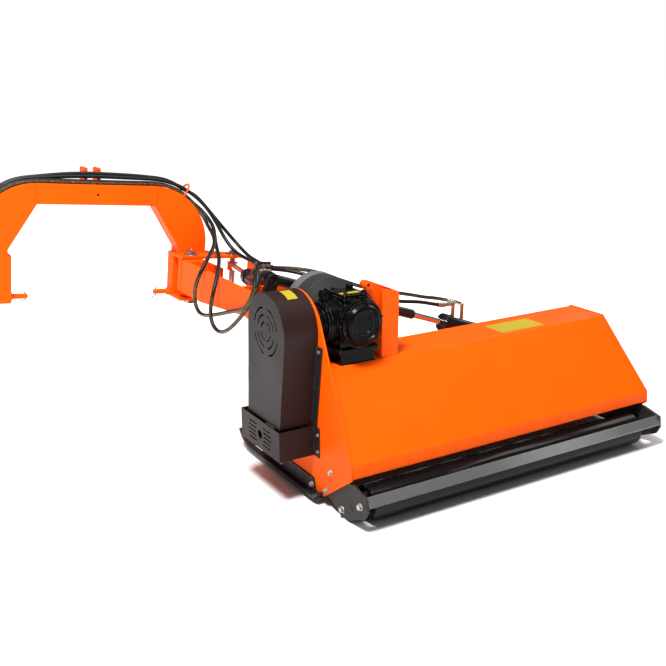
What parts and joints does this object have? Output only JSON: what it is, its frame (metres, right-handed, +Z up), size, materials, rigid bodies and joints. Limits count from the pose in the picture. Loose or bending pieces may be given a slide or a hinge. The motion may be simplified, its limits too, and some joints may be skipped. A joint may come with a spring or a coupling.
{
  "type": "flail mower",
  "caption": "Offset flail mower: hooded hammer rotor with belt drive, gearbox and rear roller, carried on a swinging, tilting hydraulic arm with a three-point hitch arch.",
  "frame": {"origin": "End face of the splined driveline stub, on its axis.", "axes": "+X across the cut, away from the hitch; +Y forward, along the driveline stub towards the tractor; +Z up."},
  "size_m": [2.4383, 1.5794, 1.1043],
  "materials": {
    "orange_paint": "gloss orange enamel",
    "black_paint": "satin black enamel",
    "black_cast": "gloss black enamel on castings",
    "dark_paint": "dark grey powder coat, worn at the edges",
    "shield_plastic": "ribbed dark grey plastic",
    "zinc_steel": "zinc plated or bare steel",
    "pulley_iron": "machined cast iron",
    "chromed_rod": "hard chrome",
    "fitting_brass": "passivated yellow zinc and brass",
    "black_rubber": "matt black rubber"
  },
  "bodies": {
    "head": {"hood": "orange_paint", "left_side_plate": "orange_paint", "right_side_plate": "orange_paint", "left_skid": "black_paint", "right_skid": "black_paint", "belt_guard": "dark_paint", "lower_guard": "dark_paint", "head_bolts": "zinc_steel", "gearbox_plinth": "black_paint", "gearbox_housing": "black_cast", "gearbox_rear_cover": "black_cast", "gearbox_output_tube": "black_cast", "gearbox_top_cover": "black_paint", "gearbox_bearings": "zinc_steel", "driveline_shield": "shield_plastic", "tower_post": "orange_paint", "tilt_bracket": "orange_paint", "tilt_pin": "zinc_steel", "tilt_anchor": "orange_paint", "tilt_barrel": "black_paint", "tilt_fittings": "fitting_brass", "rotor_bearings": "black_paint", "counter_blade": "zinc_steel", "belts": "black_rubber", "tensioner_arm": "zinc_steel", "left_roller_bracket": "dark_paint", "right_roller_bracket": "dark_paint", "scraper_bar": "zinc_steel", "flap_rod": "zinc_steel", "tilt_hoses_rear": "black_rubber"},
    "rotor": {"rotor_drum": "dark_paint", "hammer_pins": "zinc_steel", "rotor_pulley": "pulley_iron"},
    "hammers_1": {"hammer_row_1": "zinc_steel"},
    "hammers_2": {"hammer_row_2": "zinc_steel"},
    "hammers_3": {"hammer_row_3": "zinc_steel"},
    "hammers_4": {"hammer_row_4": "zinc_steel"},
    "drive": {"output_shaft": "zinc_steel", "drive_pulley": "pulley_iron"},
    "input": {"input_shaft": "zinc_steel"},
    "idler": {"idler_pulley": "pulley_iron"},
    "roller": {"roller": "black_paint"},
    "flap_left": {"front_flap_1": "black_rubber"},
    "flap_right": {"front_flap_2": "black_rubber"},
    "tilt_rod": {"tilt_rod": "chromed_rod"},
    "arm": {"arm_channel": "orange_paint", "arm_brackets": "orange_paint"},
    "swing_barrel": {"swing_barrel": "black_paint", "swing_fittings": "fitting_brass"},
    "swing_rod": {"swing_rod": "chromed_rod"},
    "hitch": {"hitch_arch": "orange_paint", "kingpin_bracket": "orange_paint", "kingpins": "zinc_steel", "hitch_pins": "orange_paint", "hose_guides": "orange_paint", "hose_couplers": "zinc_steel", "swing_hoses": "black_rubber", "tilt_hoses_front": "black_rubber"},
    "linch_left": {"linch_pin_left": "zinc_steel"},
    "linch_right": {"linch_pin_right": "zinc_steel"}
  },
  "joints": [
    {"name": "head_tilt", "type": "hinge", "parent": "head", "child": "arm", "pos_m": [-0.218, 0, -0.021], "axis": [0, 1, 0], "range_deg": [-30, 45], "deforming": ["tilt_hoses_rear"]},
    {"name": "tilt_rod_slide", "type": "slide", "parent": "head", "child": "tilt_rod", "axis": [0.9421, 0, -0.3355], "range_m": [-0.075, 0.112]},
    {"name": "arm_swing", "type": "hinge", "parent": "arm", "child": "hitch", "pos_m": [-0.218, 0.694, -0.021], "axis": [-0.0958, 0, -0.9954], "range_deg": [0, 40], "deforming": ["swing_hoses", "tilt_hoses_front"]},
    {"name": "swing_barrel_turn", "type": "hinge", "parent": "arm", "child": "swing_barrel", "pos_m": [-0.10323, 0.139, 0.0232], "axis": [0.0958, 0, 0.9954], "range_deg": [-0.5, 4]},
    {"name": "swing_rod_slide", "type": "slide", "parent": "swing_barrel", "child": "swing_rod", "axis": [0.1628, 0.9865, -0.0157], "range_m": [-0.137, 0]},
    {"name": "rotor_spin", "type": "hinge", "parent": "head", "child": "rotor", "pos_m": [0, -0.221, -0.398], "axis": [1, 0, 0], "continuous": true},
    {"name": "hammers_1_swing", "type": "hinge", "parent": "rotor", "child": "hammers_1", "pos_m": [0, -0.25383, -0.30779], "axis": [1, 0, 0], "range_deg": [-60, 60]},
    {"name": "hammers_2_swing", "type": "hinge", "parent": "rotor", "child": "hammers_2", "pos_m": [0, -0.31121, -0.43083], "axis": [1, 0, 0], "range_deg": [-60, 60]},
    {"name": "hammers_3_swing", "type": "hinge", "parent": "rotor", "child": "hammers_3", "pos_m": [0, -0.18817, -0.48821], "axis": [1, 0, 0], "range_deg": [-60, 60]},
    {"name": "hammers_4_swing", "type": "hinge", "parent": "rotor", "child": "hammers_4", "pos_m": [0, -0.13079, -0.36517], "axis": [1, 0, 0], "range_deg": [-60, 60]},
    {"name": "drive_spin", "type": "hinge", "parent": "head", "child": "drive", "pos_m": [0, -0.261, 0], "axis": [1, 0, 0], "continuous": true},
    {"name": "input_spin", "type": "hinge", "parent": "head", "child": "input", "pos_m": [0, 0, 0], "axis": [0, 1, 0], "continuous": true},
    {"name": "idler_spin", "type": "hinge", "parent": "head", "child": "idler", "pos_m": [0, -0.28221, -0.199], "axis": [1, 0, 0], "continuous": true},
    {"name": "roller_spin", "type": "hinge", "parent": "head", "child": "roller", "pos_m": [0, -0.608, -0.562], "axis": [1, 0, 0], "continuous": true},
    {"name": "linch_left_pull", "type": "slide", "parent": "hitch", "child": "linch_left", "axis": [-0.0958, 0, -0.9954], "range_m": [0, 0.08]},
    {"name": "linch_right_pull", "type": "slide", "parent": "hitch", "child": "linch_right", "axis": [-0.0958, 0, -0.9954], "range_m": [0, 0.08]},
    {"name": "flap_left_swing", "type": "hinge", "parent": "head", "child": "flap_left", "pos_m": [0, 0.026, -0.386], "axis": [1, 0, 0], "range_deg": [-20, 75]},
    {"name": "flap_right_swing", "type": "hinge", "parent": "head", "child": "flap_right", "pos_m": [0, 0.026, -0.386], "axis": [1, 0, 0], "range_deg": [-20, 75]}
  ],
  "couplings": [
    {"joint": "tilt_rod_slide", "follows": "head_tilt", "m_per_rad": 0.141},
    {"joint": "swing_barrel_turn", "follows": "arm_swing", "ratio": 0.085},
    {"joint": "swing_rod_slide", "follows": "arm_swing", "m_per_rad": -0.1935},
    {"joint": "drive_spin", "follows": "rotor_spin", "ratio": 0.46667},
    {"joint": "input_spin", "follows": "rotor_spin", "ratio": 0.28966},
    {"joint": "idler_spin", "follows": "rotor_spin", "ratio": 1.75}
  ]
}
